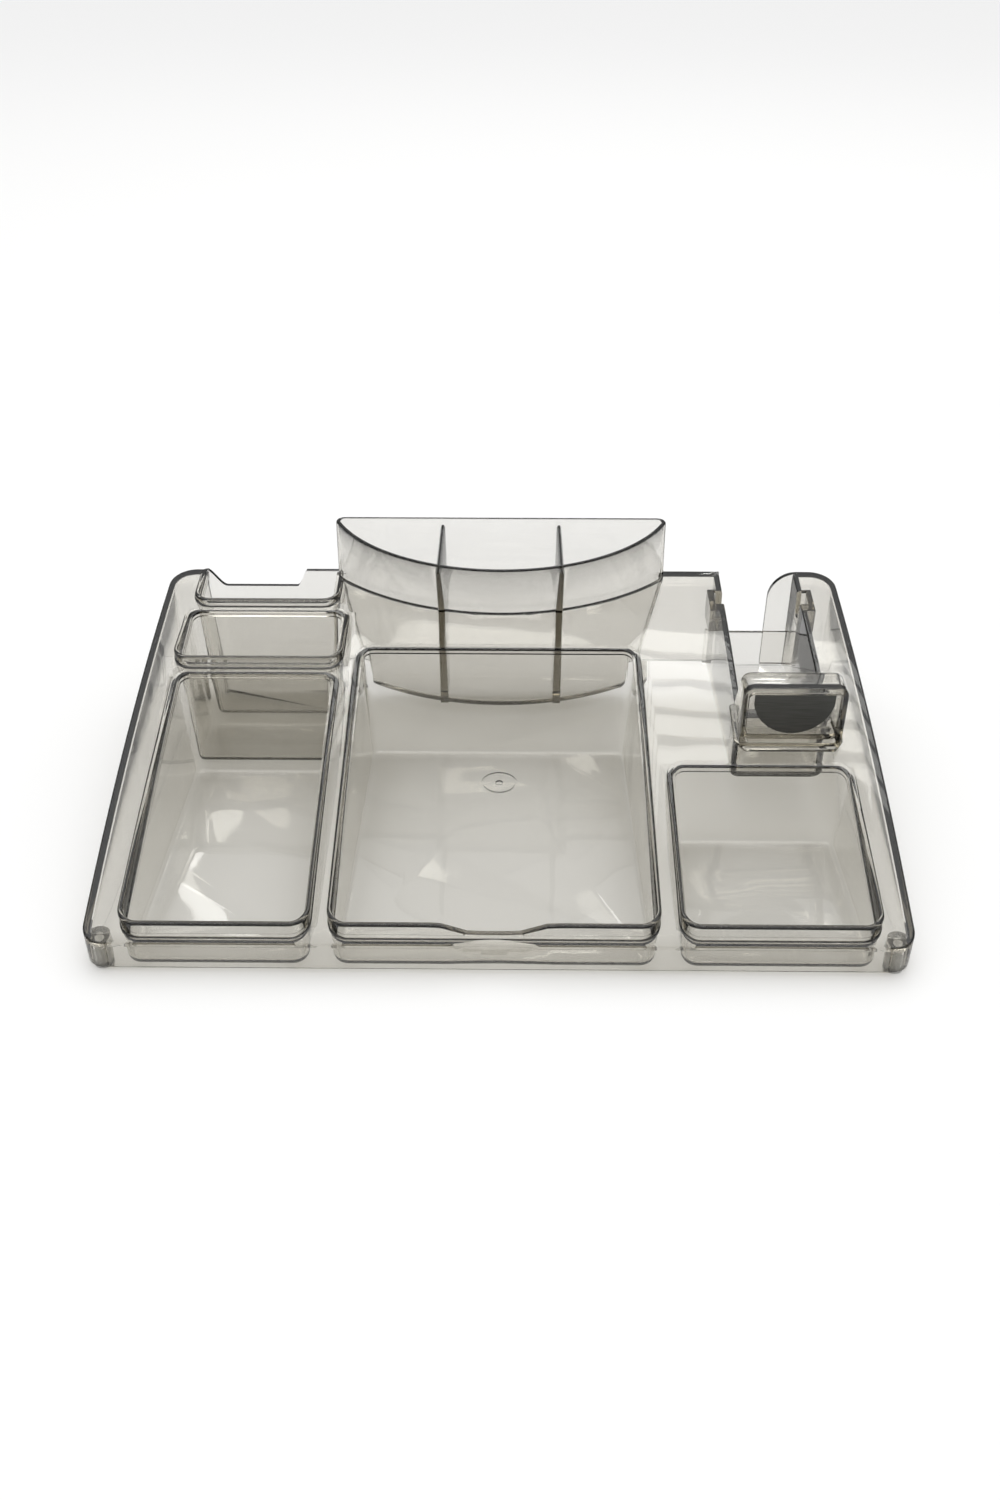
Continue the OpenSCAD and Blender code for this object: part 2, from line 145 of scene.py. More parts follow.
def outline(corners, radii, steps=CORNER_STEPS):
    """Rounded polygon, counter-clockwise: points and outward normals."""
    points = []
    count = len(corners)
    for i in range(count):
        here = Vector(corners[i])
        before = (Vector(corners[i - 1]) - here).normalized()
        after = (Vector(corners[(i + 1) % count]) - here).normalized()
        half = before.angle(after) / 2
        radius = radii[i]
        middle = here + (before + after).normalized() * (radius / math.sin(half))
        turn = math.pi - 2 * half
        start = math.atan2(before.x, -before.y)
        for k in range(steps + 1):
            angle = start + turn * k / steps
            normal = Vector((math.cos(angle), math.sin(angle)))
            points.append((middle + normal * radius, normal))
    full = []
    for i, (point, normal) in enumerate(points):
        full.append((point, normal))
        after_point, after_normal = points[(i + 1) % len(points)]
        gap = (after_point - point).length
        pieces = int(gap // SIDE_STEP) if (after_normal - normal).length < 1e-4 else 0
        for k in range(1, pieces + 1):
            full.append((point.lerp(after_point, k / (pieces + 1)), normal))
    return full


def quarter(steps=ROUND_STEPS):
    """Steps of a quarter turn as (1 - cos, sin) pairs from 0 to 1."""
    for k in range(steps + 1):
        angle = math.pi / 2 * k / steps
        yield 1 - math.cos(angle), math.sin(angle)


def curved_cap(bm, ring, height, flip):
    """Fills a ring with a fine mesh that follows the height of y."""
    edge = [v.co.to_2d() for v in ring]
    xs = [p.x for p in edge]
    ys = [p.y for p in edge]
    step = SIDE_STEP * MM
    inner = []
    nx = int((max(xs) - min(xs)) / step)
    ny = int((max(ys) - min(ys)) / step)
    for i in range(1, nx):
        for j in range(1, ny):
            p = Vector((min(xs) + (max(xs) - min(xs)) * i / nx,
                        min(ys) + (max(ys) - min(ys)) * j / ny))
            if min((p - q).length for q in edge) > step * 0.6:
                inner.append(p)
    count = len(edge)
    sides = [(i, (i + 1) % count) for i in range(count)]
    points, _, faces, origin, _, _ = delaunay_2d_cdt(edge + inner, sides, [], 1, 1e-9)
    verts = []
    for p, source in zip(points, origin):
        first = min(source) if source else -1
        if 0 <= first < count:
            verts.append(ring[first])
        else:
            verts.append(bm.verts.new((p.x, p.y, height(p.y / MM) * MM)))
    for face in faces:
        corner = [verts[i] for i in face]
        if flip:
            corner.reverse()
        if len(set(corner)) == len(corner):
            bm.faces.new(corner)


def loft(name, rows, bottom=None, top=None):
    """Closed skin through rows of points in mm, capped at both ends.

    A cap is flat unless the height of its surface over y is given.
    """
    bm = bmesh.new()
    rings = [[bm.verts.new(Vector(p) * MM) for p in row] for row in rows]
    count = len(rings[0])
    for lower, upper in zip(rings, rings[1:]):
        for i in range(count):
            j = (i + 1) % count
            bm.faces.new((lower[i], lower[j], upper[j], upper[i]))
    if bottom:
        curved_cap(bm, rings[0], bottom, True)
    else:
        bm.faces.new(rings[0][::-1])
    if top:
        curved_cap(bm, rings[-1], top, False)
    else:
        bm.faces.new(rings[-1])
    bmesh.ops.recalc_face_normals(bm, faces=bm.faces)
    mesh = bpy.data.meshes.new(name)
    bm.to_mesh(mesh)
    bm.free()
    obj = bpy.data.objects.new(name, mesh)
    bpy.context.scene.collection.objects.link(obj)
    return obj


def combine(target, others, operation):
    """Joins or cuts a solid by others, and deletes those."""
    for other in others:
        modifier = target.modifiers.new("combine", "BOOLEAN")
        modifier.operation = operation
        modifier.solver = "MANIFOLD"
        modifier.object = other
        graph = bpy.context.evaluated_depsgraph_get()
        mesh = bpy.data.meshes.new_from_object(target.evaluated_get(graph))
        target.modifiers.clear()
        target.data = mesh
        bpy.data.objects.remove(other)


def prism(name, profile, start, end, axis):
    """Straight block: a closed outline (a, b) swept along X or Y, in mm."""
    rows = []
    for place in (start, end):
        if axis == "x":
            rows.append([(place, a, b) for a, b in profile])
        else:
            rows.append([(a, place, b) for a, b in profile])
    return loft(name, rows)


def disc(cx, cy, radius, steps=48):
    return [(cx + radius * math.cos(2 * math.pi * k / steps),
             cy + radius * math.sin(2 * math.pi * k / steps)) for k in range(steps)]


def upright(name, profile, z0, z1):
    return loft(name, [[(x, y, z0) for x, y in profile], [(x, y, z1) for x, y in profile]])


# ---- deck, skirts and back wall -----------------------------------------

def body_shell():
    """One bell: deck on top, skirts down to the table, open underneath."""
    plan = outline([(-HALF_W, FRONT_Y), (HALF_W, FRONT_Y),
                    (BACK_HALF_W, BACK_Y), (-BACK_HALF_W, BACK_Y)],
                   [FRONT_CORNER_R, FRONT_CORNER_R, BACK_CORNER_R, BACK_CORNER_R])

    def bottom_z(normal):
        step = BACK_LOW_Z - LOW_Z
        return LOW_Z + step * min(1, max(0, (normal.y - BACK_TURN) / BACK_TURN_SPAN))

    def row(inset, height):
        result = []
        for point, normal in plan:
            top = deck_z(point.y)
            z = height(top, bottom_z(normal))
            place = point - normal * inset
            result.append((place.x, place.y, z))
        return result

    rows = []
    for drop, shift in quarter():
        rows.append(row(EDGE_R * (1 - shift), lambda top, low, d=drop: top - EDGE_R * d))
    foot_r = SHELL / 2
    for k in range(2 * ROUND_STEPS + 1):
        angle = math.pi * k / (2 * ROUND_STEPS)
        inset = foot_r * (1 - math.cos(angle))
        down = foot_r * math.sin(angle)
        rows.append(row(inset, lambda top, low, d=down: low + foot_r - d))
    rows.append(row(SHELL, lambda top, low: top - SHELL - SKIRT_INNER_R))
    rows.append(row(SHELL + SKIRT_INNER_R, lambda top, low: top - SHELL))
    return loft("organizer", rows, bottom=deck_z, top=lambda y: deck_z(y) - SHELL)


# ---- compartments --------------------------------------------------------

def no_dip(x, y):
    return 0


def rim_line(node, y0, y1):
    """Arc of a rim in side view; at the back it comes down to the deck."""
    rise, bulge = RIM_RISE[node]
    middle = (y0 + y1) / 2
    return arc_of_three((y0, deck_z(y0) + rise), (middle, deck_z(middle) + bulge),
                        (y1, deck_z(y1) + RIM_FLUSH))


def vessel_rows(plan, rim, low, draft_of, dip=no_dip):
    """Rows of an open vessel from its underside over the rim to its floor."""
    def row(shape):
        result = []
        for point, normal in plan:
            top = on_arc(rim, point.y) - dip(point.x, point.y)
            rise = max(0.0, top - deck_z(point.y))
            inset, height = shape(top, rise, point.y, normal)
            lean = draft_of(normal) * (height - on_arc(rim, point.y))
            place = point + normal * (lean - inset)
            near_deck = height > deck_z(point.y) - DRIFT_DEPTH
            drift = deck_z(place.y) - deck_z(point.y) if near_deck else 0
            result.append((place.x, place.y, height + drift))
        return result

    def hollow(rise, normal):
        return 0.0 if normal.y > 0.5 and rise < 1 else min(FLARE_R, FLARE_SHARE * rise)

    def outer_r(rise):
        return min(RIM_R, rise * RIM_SHARE)

    def inner_r(rise):
        return FLUSH_R + (RIM_R - FLUSH_R) * min(1.0, rise / RIM_FULL_RISE)

    rows = []
    for drop, shift in quarter():
        rows.append(row(lambda top, rise, y, n, d=drop, s=shift:
                        (BASE_R * (1 - s), low + BASE_R * d)))
    rows.append(row(lambda top, rise, y, n: (0, deck_z(y) - WELD_Z)))
    rows.append(row(lambda top, rise, y, n: (-hollow(rise, n), deck_z(y) - WELD_OUT_Z)))
    for up, shift in quarter():
        rows.append(row(lambda top, rise, y, n, u=up, s=shift:
                        (-hollow(rise, n) * (1 - s),
                         deck_z(y) - WELD_FLARE_Z + hollow(rise, n) * u)))
    for inward, shift in quarter():
        rows.append(row(lambda top, rise, y, n, i=inward, s=shift:
                        (outer_r(rise) * i, top - outer_r(rise) * (1 - s))))
    for drop, shift in quarter():
        rows.append(row(lambda top, rise, y, n, d=drop, s=shift:
                        (WALL - inner_r(rise) * (1 - s), top - inner_r(rise) * d)))
    floor = low + WALL
    for inward, shift in quarter():
        rows.append(row(lambda top, rise, y, n, i=inward, s=shift:
                        (WALL + FOOT_R * i, floor + FOOT_R * (1 - s))))
    return rows


def plug_rows(plan, rim, draft_of):
    """Rows of the block that clears the deck where a vessel stands."""
    rows = []
    for z in (PLUG_LOW_Z, PLUG_HIGH_Z):
        row = []
        for point, normal in plan:
            top = on_arc(rim, point.y)
            place = point + normal * (draft_of(normal) * (min(z, top) - top) - CUT)
            row.append((place.x, place.y, z))
        rows.append(row)
    return rows


def vessel(name, plan, rim, low, draft_of, dip=no_dip):
    """An open compartment and the plug that makes room for it."""
    cup = loft(name, vessel_rows(plan, rim, low, draft_of, dip))
    plug = loft(name + "_plug", plug_rows(plan, rim, draft_of))
    return cup, plug


def even_draft(normal):
    return DRAFT


def simple_tray(node, dip=no_dip):
    """Open compartment whose four walls all lean out evenly."""
    low, high = box_mm(node)
    plan = outline([(low.x, low.y), (high.x, low.y), (high.x, high.y), (low.x, high.y)],
                   [TRAY_CORNER_R] * 4)
    rim = rim_line(node, low.y, high.y)
    return vessel(node, plan, rim, LOW_Z, even_draft, dip)


# Thumb notch in the note tray's front rim, and the hollow in the skirt below it
NOTCH_HALF = 17.0          # half width
NOTCH_DROP = 3.4           # depth in the middle
NOTCH_FLAT = 0.35          # part of the half width that is level
NOTCH_REACH = 3            # only the rim's points this near the front are lowered
THUMB_SIZE = (32.0, 12.2, 17.0)
THUMB_OUT = 10.0           # the ellipsoid's middle is this far in front

# Low stretch of the rear bin's back wall, from left to right
SCOOP_DROP = 6.0           # depth below the deck
SCOOP_RISE = 0.6           # its slopes start this far above the deck
SCOOP_START = 1.1          # from the bin's outer left face
SCOOP_SLOPE_LEFT = 7.5
SCOOP_FLAT = 25.7
SCOOP_SLOPE_RIGHT = 4.5
SCOOP_STEPS = 12           # steps of each slope
SCOOP_REACH = 3.5          # how far the cut goes in past the wall
BIN_BACK_R = 2.0           # plan corners of the bin at the body's back
note_low, note_high = box_mm("note_tray")
NOTE_X = (note_low.x + note_high.x) / 2


def notch_dip(x, y):
    """Lowers the note tray's front rim in a smooth dip for the thumb."""
    if y > note_low.y + NOTCH_REACH:
        return 0
    t = abs(x - NOTE_X) / NOTCH_HALF
    if t >= 1:
        return 0
    slope = max(0, (t - NOTCH_FLAT) / (1 - NOTCH_FLAT))
    return NOTCH_DROP * (0.5 + 0.5 * math.cos(math.pi * slope))


def rear_bin():
    """Its back wall is the body's own, upright and flush with it."""
    low, high = box_mm("rear_bin")
    plan = outline([(low.x, low.y), (high.x, low.y), (high.x, BACK_Y), (low.x, BACK_Y)],
                   [TRAY_CORNER_R, TRAY_CORNER_R, BIN_BACK_R, BIN_BACK_R])
    rim = rim_line("rear_bin", low.y, BACK_Y)

    def draft_of(normal):
        return DRAFT * (1 - max(0, normal.y)) if normal.y > 0 else DRAFT

    return vessel("rear_bin", plan, rim, LOW_Z, draft_of)


# ---- pen cup -------------------------------------------------------------

cup_low, cup_high = box_mm("pen_cup")
CUP_WAIST_D = 25.0         # depth where it passes the deck
CUP_BASE_D = 20.5
CUP_BASE_W = 99.0
CUP_END_R = 3.0            # plan corners at the ends of the D
CUP_END_R_MIN = 0.4        # what is left of them on the inside
CUP_BASE_R = 1.2           # rounding of its underside
CUP_BEND = 4.0             # half height of the soft bend at the deck
CUP_FOOT = 0.8             # hollow rounding where it meets the deck
CUP_FOOT_TOP = 5           # height above the deck from which its wall is plain
CUP_WELD_Z = 1.3           # depth under the deck's face where its foot starts
CUP_WELD_OUT_Z = 1.0       # depth where the foot has its full width
CUP_PLUG_BACK = 3          # how far the plug reaches out through the back
CUP_PLUG_Z = 90
CUP_ARC_STEPS = 96         # points of the bowed front, the ends and the back
CUP_END_STEPS = 12
CUP_BACK_STEPS = 25
cup_rim_d = cup_high.y - cup_low.y
cup_w = cup_high.x - cup_low.x
CUP_X = (cup_low.x + cup_high.x) / 2
waist_z = deck_z(BACK_Y - CUP_WAIST_D)


def cup_plan(width, depth, inset):
    """D-shaped ring with the same number of points at every size."""
    flat = width / 2 - CUP_END_R
    full_r = (flat * flat / (depth - 2 * CUP_END_R) + depth) / 2
    radius = full_r - inset
    centre_y = BACK_Y - depth + full_r
    end_r = max(CUP_END_R_MIN, CUP_END_R - inset)
    corner_y = BACK_Y - max(0, inset) - end_r
    reach = math.sqrt(max(0, (radius - end_r) ** 2 - (corner_y - centre_y) ** 2))
    ring = []
    start = math.atan2(corner_y - centre_y, reach)
    for k in range(CUP_ARC_STEPS + 1):
        angle = (-math.pi - start) + (math.pi + 2 * start) * k / CUP_ARC_STEPS
        ring.append((radius * math.cos(angle), centre_y + radius * math.sin(angle)))
    for k in range(1, CUP_END_STEPS + 1):
        angle = start + (math.pi / 2 - start) * k / CUP_END_STEPS
        ring.append((reach + end_r * math.cos(angle), corner_y + end_r * math.sin(angle)))
    for k in range(1, CUP_BACK_STEPS):
        ring.append((reach - 2 * reach * k / CUP_BACK_STEPS, corner_y + end_r))
    for k in range(CUP_END_STEPS):
        angle = math.pi / 2 + (math.pi / 2 - start) * k / CUP_END_STEPS
        ring.append((-reach + end_r * math.cos(angle), corner_y + end_r * math.sin(angle)))
    return [(CUP_X + x, y) for x, y in ring]


def cup_size(z):
    """Width and depth at a height, with the bend at the deck rounded off."""
    below = (z - waist_z) / (waist_z - cup_low.z)
    above = (z - waist_z) / (cup_high.z - waist_z)
    low_width = cup_w + (cup_w - CUP_BASE_W) * below
    high_width = cup_w - above
    if z <= waist_z - CUP_BEND:
        return low_width, CUP_WAIST_D + (CUP_WAIST_D - CUP_BASE_D) * below
    if z >= waist_z + CUP_BEND:
        return high_width, CUP_WAIST_D + (cup_rim_d - CUP_WAIST_D) * above
    t = (z - waist_z + CUP_BEND) / (2 * CUP_BEND)
    low_slope = (CUP_WAIST_D - CUP_BASE_D) / (waist_z - cup_low.z)
    high_slope = (cup_rim_d - CUP_WAIST_D) / (cup_high.z - waist_z)
    bend = low_slope * t + (high_slope - low_slope) * t * t / 2
    depth = CUP_WAIST_D - CUP_BEND * low_slope + 2 * CUP_BEND * bend
    return low_width + (high_width - low_width) * t, depth


def cup_ring(height, inset):
    """Outline of the cup at a fixed height, or at one that follows the deck."""
    if not callable(height):
        return [(x, y, height) for x, y in cup_plan(*cup_size(height), inset)]
    rings = {}
    ring = []
    for i, (x, y) in enumerate(cup_plan(*cup_size(waist_z), inset)):
        for _ in range(4):
            z = height(y)
            key = round(z, 2)
            if key not in rings:
                rings[key] = cup_plan(*cup_size(z), inset)
            x, y = rings[key][i]
        ring.append((x, y, height(y)))
    return ring


def cup_plug_row(size_z, z):
    """The cup's outline at one height, set at another and opened at the back."""
    return [(x, y + CUP_PLUG_BACK if y > BACK_Y - 2 else y, z)
            for x, y, _ in cup_ring(size_z, CUT)]


def pen_cup():
    """The cup and the plug that makes room for it, like a vessel's."""
    rows = [cup_ring(cup_low.z + CUP_BASE_R * drop, CUP_BASE_R * (1 - shift))
            for drop, shift in quarter()]
    rows.append(cup_ring(cup_low.z + 20, 0))
    rows.append(cup_ring(lambda y: deck_z(y) - CUP_WELD_Z, 0))
    rows.append(cup_ring(lambda y: deck_z(y) - CUP_WELD_OUT_Z, -CUP_FOOT))
    for up, shift in quarter():
        rows.append(cup_ring(lambda y, u=up: deck_z(y) - WELD_FLARE_Z + CUP_FOOT * u,
                             -CUP_FOOT * (1 - shift)))
    rows.append(cup_ring(lambda y: deck_z(y) + CUP_FOOT_TOP, 0))
    for k in range(2 * ROUND_STEPS + 1):
        a = math.pi * k / (2 * ROUND_STEPS)
        rows.append(cup_ring(cup_high.z - RIM_R + RIM_R * math.sin(a),
                             WALL / 2 * (1 - math.cos(a))))
    for k in range(int(2 * CUP_BEND) + 1):
        rows.append(cup_ring(waist_z + CUP_BEND - k, WALL))
    floor = cup_low.z + WALL
    for inward, shift in quarter():
        rows.append(cup_ring(floor + FOOT_R * (1 - shift), WALL + FOOT_R * inward))
    cup = loft("pen_cup", rows)
    plug = loft("pen_cup_plug", [cup_plug_row(cup_low.z, PLUG_LOW_Z),
                                 cup_plug_row(waist_z, waist_z),
                                 cup_plug_row(waist_z, CUP_PLUG_Z)])
    return cup, plug


DIVIDER_TOP_HALF = 0.8     # half thickness near the top
DIVIDER_WAIST_MORE = 0.35  # and what is added to it at the deck's height
DIVIDER_TIP = 0.4          # part of it that is left at the very top
DIVIDER_TIP_Z = 0.8        # height of the narrowing tip
DIVIDER_SINK = 0.8         # how far it reaches into the floor and the back wall
DIVIDER_FRONT = 1.2        # from the cup's outer face to its front edge, low down
DIVIDER_TOP_FRONT = 3.6    # and at the rim


def pen_divider(node):
    """Upright web that gets thinner towards its top."""
    low, high = box_mm(node)
    middle = (low.x + high.x) / 2
    foot_half = (high.x - low.x) / 2
    back = BACK_Y - WALL + DIVIDER_SINK
    foot_y = BACK_Y - CUP_BASE_D + DIVIDER_FRONT
    waist_y = BACK_Y - CUP_WAIST_D + DIVIDER_FRONT
    top_y = BACK_Y - cup_rim_d + DIVIDER_TOP_FRONT
    rows = []
    for z, half, start in ((cup_low.z + WALL - DIVIDER_SINK, foot_half, foot_y),
                           (waist_z, DIVIDER_TOP_HALF + DIVIDER_WAIST_MORE, waist_y),
                           (high.z - DIVIDER_TIP_Z, DIVIDER_TOP_HALF, top_y),
                           (high.z, DIVIDER_TOP_HALF * DIVIDER_TIP, top_y)):
        rows.append([(middle - half, start, z), (middle + half, start, z),
                     (middle + half, back, z), (middle - half, back, z)])
    return loft(node, rows)


# ---- tape dispenser ------------------------------------------------------

cheek_l_low, cheek_l_high = box_mm("tape_cheek_left")
cheek_r_low = box_mm("tape_cheek_right")[0]
WELL_LOW_Z = box_mm("tape_well_floor")[0].z
low_back_low, low_back_high = box_mm("tape_well_back")
WELL_FLOOR_Z = low_back_low.z
nose_low, nose_high = box_mm("cutter_nose")
WELL_X0 = cheek_l_high.x
WELL_X1 = cheek_r_low.x
WELL_FRONT = cheek_l_low.y
AXLE_Y = 62.0              # the round bottom of the slots
AXLE_Z = 44.0
AXLE_R = 2.6
AXLE_MOUTH = 8.0           # half width of the slots at AXLE_MOUTH_Z, above the deck
AXLE_MOUTH_Z = 70
AXLE_POCKET = 3.2          # how far the blocks stand out from the cheeks
AXLE_BLOCK_HALF = 6        # half width of the blocks, and their depth below the axle
WELL_EDGE_R = 3.0          # rounding of the well's lower edge
WELL_FLARE = 0.8           # rounding of the deck's edge around the well
WELL_FOOT_R = 1.0          # rounding inside, on the well's floor
WELL_OPEN = 12             # how far the cut goes up past the deck
GAP_WIDTH = 18.6           # opening in the back wall, without its arched corner
GAP_ARCH_R = 10.0


def well_outer():
    """Solid block of the tape well, hollowed later together with the deck."""
    x0, x1 = WELL_X0 - SHELL, WELL_X1 + SHELL
    y0, y1 = WELL_FRONT - SHELL, low_back_high.y
    plan = outline([(x0, y0), (x1, y0), (x1, y1), (x0, y1)], [1.5, 1.5, 0.4, 0.4], 5)
    rows = []
    for drop, shift in quarter():
        inset = WELL_EDGE_R * (1 - shift)
        rows.append([(p.x - inset * n.x, p.y - inset * min(0, n.y), WELL_LOW_Z + WELL_EDGE_R * drop)
                     for p, n in plan])
    rows.append([(p.x, p.y, deck_z(p.y) - SHELL / 2) for p, n in plan])
    return loft("well", rows, top=lambda y: deck_z(y) - SHELL / 2)


def axle_pockets():
    """Blocks outside both cheeks that hold the axle's ends."""
    blocks = []
    y0, y1 = AXLE_Y - AXLE_BLOCK_HALF, AXLE_Y + AXLE_BLOCK_HALF
    bottom = AXLE_Z - AXLE_BLOCK_HALF
    for x0, x1 in ((WELL_X0 - SHELL - AXLE_POCKET, WELL_X0 - 1),
                   (WELL_X1 + 1, WELL_X1 + SHELL + AXLE_POCKET)):
        sides = [(x0, y0), (x1, y0), (x1, y1), (x0, y1)]
        blocks.append(loft("axle_pocket", [[(x, y, bottom) for x, y in sides],
                                           [(x, y, deck_z(y) - 1) for x, y in sides]]))
    return blocks


def well_cavity():
    """Room of the well, flared where it rounds the deck's edge."""
    plan = outline([(WELL_X0, WELL_FRONT), (WELL_X1, WELL_FRONT),
                    (WELL_X1, BACK_Y - SHELL), (WELL_X0, BACK_Y - SHELL)], [1.2, 1.2, 0.3, 0.3], 5)
    rows = []
    for drop, shift in quarter():
        inset = WELL_FOOT_R * (1 - shift)
        rows.append([(p.x - inset * n.x, p.y - inset * n.y, WELL_FLOOR_Z + WELL_FOOT_R * drop)
                     for p, n in plan])
    for out, up in quarter():
        rows.append([(p.x + n.x * WELL_FLARE * out, p.y, deck_z(p.y) - WELL_FLARE * (1 - up))
                     for p, n in plan])
    rows.append([(x, y, z + WELL_OPEN) for x, y, z in rows[-1]])
    return loft("well_cavity", rows, top=lambda y: deck_z(y) + WELL_OPEN)


def axle_slots():
    """Open-topped slots in both cheeks, narrowing to a round bottom."""
    profile = [(AXLE_Y + AXLE_R * math.cos(math.pi + math.pi * k / 16),
                AXLE_Z + AXLE_R * math.sin(math.pi + math.pi * k / 16)) for k in range(17)]
    profile += [(AXLE_Y + AXLE_MOUTH, AXLE_MOUTH_Z), (AXLE_Y - AXLE_MOUTH, AXLE_MOUTH_Z)]
    slots = []
    for x0, x1 in ((WELL_X0 - AXLE_POCKET, WELL_X0 + 1), (WELL_X1 - 1, WELL_X1 + AXLE_POCKET)):
        slots.append(prism("axle_slot", profile, x0, x1, "x"))
    return slots


def back_gap():
    """Opening in the back wall: straight on the left, arched on the right."""
    bottom = WELL_FLOOR_Z
    right = WELL_X0 + GAP_WIDTH
    start = DECK_BACK_Z - GAP_ARCH_R
    profile = [(WELL_X0, bottom), (right, bottom)]
    profile += [(right + GAP_ARCH_R * (1 - math.cos(a)), start + GAP_ARCH_R * math.sin(a))
                for a in (math.pi / 2 * k / 16 for k in range(16))]
    profile += [(right + GAP_ARCH_R + 2, DECK_BACK_Z + 4), (WELL_X0, DECK_BACK_Z + 4)]
    return prism("back_gap", profile, BACK_Y - SHELL - 0.5, BACK_Y + 1, "y")


def well_back():
    """Low wall of its own, in front of the body's back wall."""
    low, high = low_back_low, low_back_high
    top_r = (high.y - low.y) / 2
    middle = (low.y + high.y) / 2
    profile = [(high.y, low.z), (high.y, high.z - top_r)]
    profile += [(middle + top_r * math.cos(a), high.z - top_r + top_r * math.sin(a))
                for a in (math.pi * k / 8 for k in range(1, 8))]
    profile += [(low.y, high.z - top_r), (low.y, low.z)]
    return prism("well_back", profile, low.x, high.x, "x")


def rounded_rect(a0, a1, b0, b1, r, steps=8):
    ring = []
    for cx, cy, start in ((a1 - r, b0 + r, -90), (a1 - r, b1 - r, 0),
                          (a0 + r, b1 - r, 90), (a0 + r, b0 + r, 180)):
        for k in range(steps + 1):
            a = math.radians(start + 90 * k / steps)
            ring.append((cx + r * math.cos(a), cy + r * math.sin(a)))
    return ring


NOSE_R = 3.2               # corners of the nose, seen from the front
NOSE_EDGE = 0.5            # rounding of its front and back edges
NOSE_DEPTH = 10.0
RECESS_DEPTH = 2.2         # how deep the blade's recess is cut in
RECESS_LOW = 2.2           # from the deck up to the recess
RECESS_HIGH = 2.4          # from the recess up to the nose's top
RECESS_R = 1.6
PLINTH_OUT = 1.2           # how far the pad stands out around the nose
PLINTH_UP = 0.9            # its height above the deck
PLINTH_R = 0.7             # rounding of its upper edge
PLINTH_CUT = (3, 4)        # its cut front corners, along X and Y
NOSE_X0 = nose_low.x + PLINTH_OUT
NOSE_X1 = nose_high.x - PLINTH_OUT
NOSE_Y0 = nose_low.y + PLINTH_OUT
NOSE_Y1 = NOSE_Y0 + NOSE_DEPTH


def nose_body():
    """Rounded block that the tape runs over, its edges softened."""
    x0, x1, y0, y1 = NOSE_X0, NOSE_X1, NOSE_Y0, NOSE_Y1
    z0, z1 = deck_z(y0) - 1, nose_high.z
    rows = []
    for back, shift in quarter(3):
        e = NOSE_EDGE * (1 - shift)
        y = y0 + NOSE_EDGE * back
        rows.append([(p, y, q) for p, q in rounded_rect(x0 + e, x1 - e, z0, z1 - e, NOSE_R - e)])
    for inward, shift in quarter(3):
        e = NOSE_EDGE * inward
        y = y1 - NOSE_EDGE * (1 - shift)
        rows.append([(p, y, q) for p, q in rounded_rect(x0 + e, x1 - e, z0, z1 - e, NOSE_R - e)])
    return loft("nose", rows)


def nose_plinth():
    """Low pad with cut corners that the nose stands on."""
    x0, x1, y0, y1 = nose_low.x, nose_high.x, nose_low.y, nose_high.y
    cut_x, cut_y = PLINTH_CUT
    plan = outline([(x0 + cut_x, y0), (x1 - cut_x, y0), (x1, y0 + cut_y),
                    (x1, y1), (x0, y1), (x0, y0 + cut_y)],
                   [1.5, 1.5, 1.5, 1.0, 1.0, 1.5], 4)
    rows = [[(p.x, p.y, deck_z(p.y) - 1.2) for p, n in plan]]
    for drop, shift in reversed(list(quarter(3))):
        place = [(p - n * PLINTH_R * (1 - shift)) for p, n in plan]
        rows.append([(p.x, p.y, deck_z(p.y) + PLINTH_UP - PLINTH_R * drop) for p in place])
    return loft("plinth", rows, top=lambda y: deck_z(y) + PLINTH_UP)


def nose_gussets():
    """Webs behind the nose that carry its side walls down to the deck."""
    webs = []
    y0, y1 = NOSE_Y1 - 1, nose_high.y - 0.6
    low = deck_z(y0) - 1
    profile = [(y0, low), (y1, low + 1), (y1, deck_z(y1) + 0.4), (y0, nose_high.z - NOSE_R)]
    for x0, x1 in ((NOSE_X0, NOSE_X0 + WALL), (NOSE_X1 - WALL, NOSE_X1)):
        webs.append(prism("gusset", profile, x0, x1, "x"))
    return webs


def nose_cuts():
    """The blade's recess in front and the hollow behind it."""
    x0, x1 = NOSE_X0 + WALL, NOSE_X1 - WALL
    face = NOSE_Y0 + RECESS_DEPTH
    low, high = deck_z(NOSE_Y0) + RECESS_LOW, nose_high.z - RECESS_HIGH
    recess = prism("recess", rounded_rect(x0, x1, low, high, RECESS_R), NOSE_Y0 - 1, face, "y")
    floor = deck_z(NOSE_Y1) + PLINTH_UP
    hollow = prism("hollow", rounded_rect(x0, x1, floor, nose_high.z - WALL, RECESS_R),
                   face + WALL, NOSE_Y1 + 1, "y")
    return [recess, hollow]


